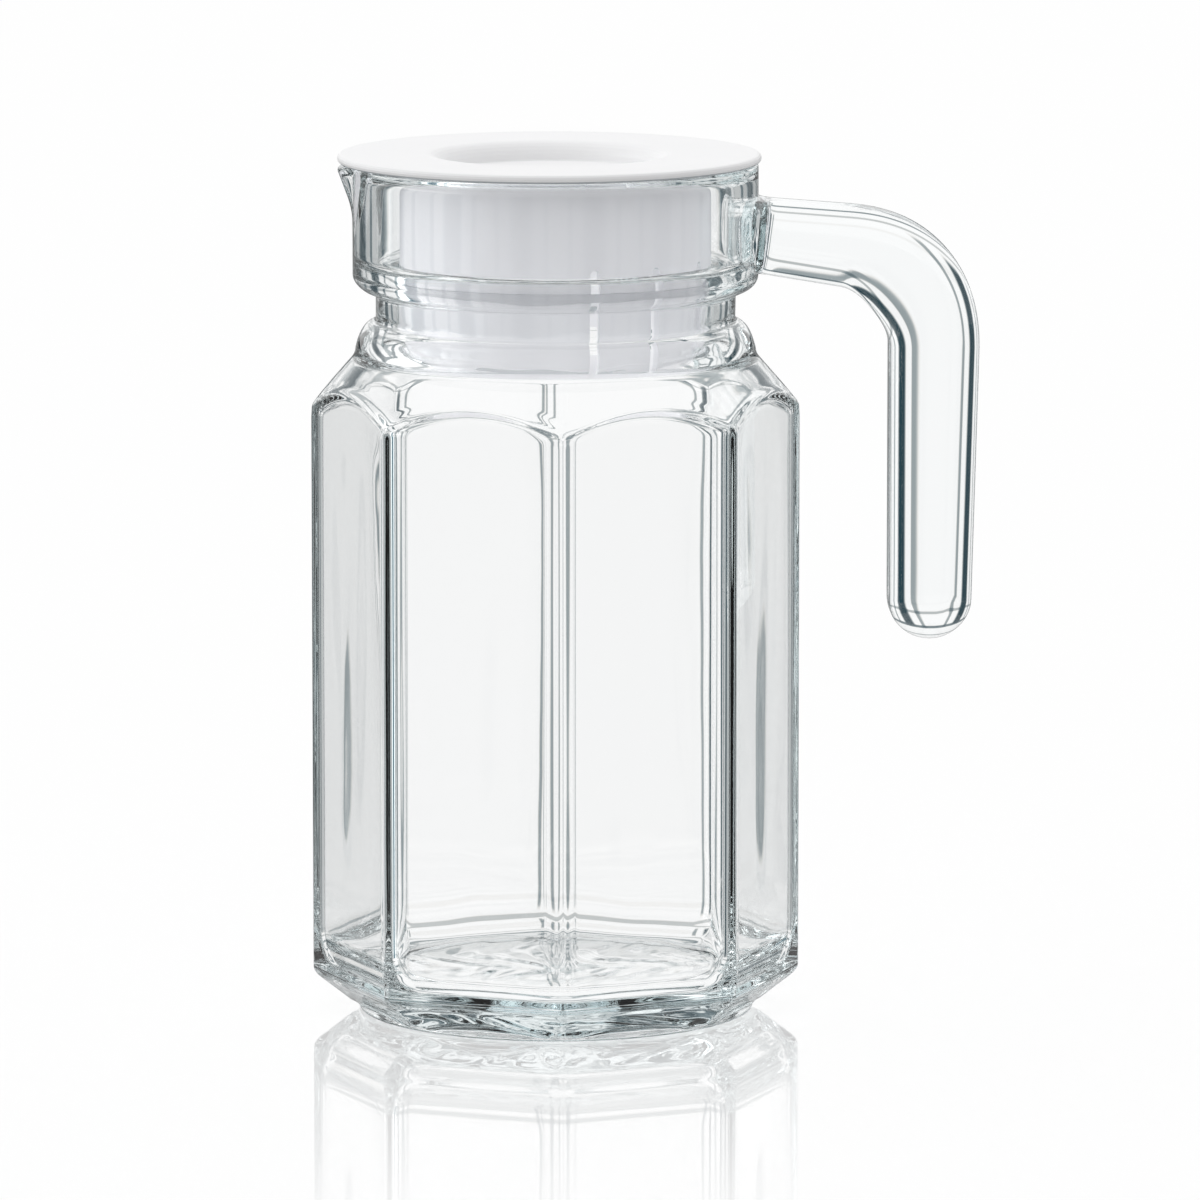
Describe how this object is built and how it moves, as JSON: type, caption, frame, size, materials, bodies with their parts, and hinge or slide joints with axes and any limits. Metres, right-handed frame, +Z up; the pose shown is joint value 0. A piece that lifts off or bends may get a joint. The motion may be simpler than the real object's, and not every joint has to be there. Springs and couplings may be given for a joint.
{
  "type": "glass pitcher with lid",
  "caption": "Octagonal clear glass pitcher with a round collar, an open-ended glass handle, a small beak and a white plug-in lid that turns and lifts off.",
  "frame": {"origin": "centre of the round foot, on the plane that the jug stands on", "axes": "+Z up along the jug's axis, +X towards the handle, -X towards the beak"},
  "size_m": [0.1547, 0.1132, 0.2],
  "materials": {
    "glass": "clear polished pressed glass",
    "lid_plastic": "smooth white polyethylene with a soft gloss",
    "seal": "soft milky silicone"
  },
  "bodies": {
    "jug": {"jug_body": "glass", "handle": "glass"},
    "seal": {"lid_seal": "seal"},
    "lid": {"lid_cover": "lid_plastic", "lid_plug": "lid_plastic"}
  },
  "joints": [
    {"name": "lid_lift", "type": "slide", "parent": "jug", "child": "seal", "axis": [0, 0, 1], "range_m": [0, 0.06]},
    {"name": "lid_turn", "type": "hinge", "parent": "seal", "child": "lid", "pos_m": [0, 0, 0.17], "axis": [0, 0, 1], "continuous": true}
  ]
}
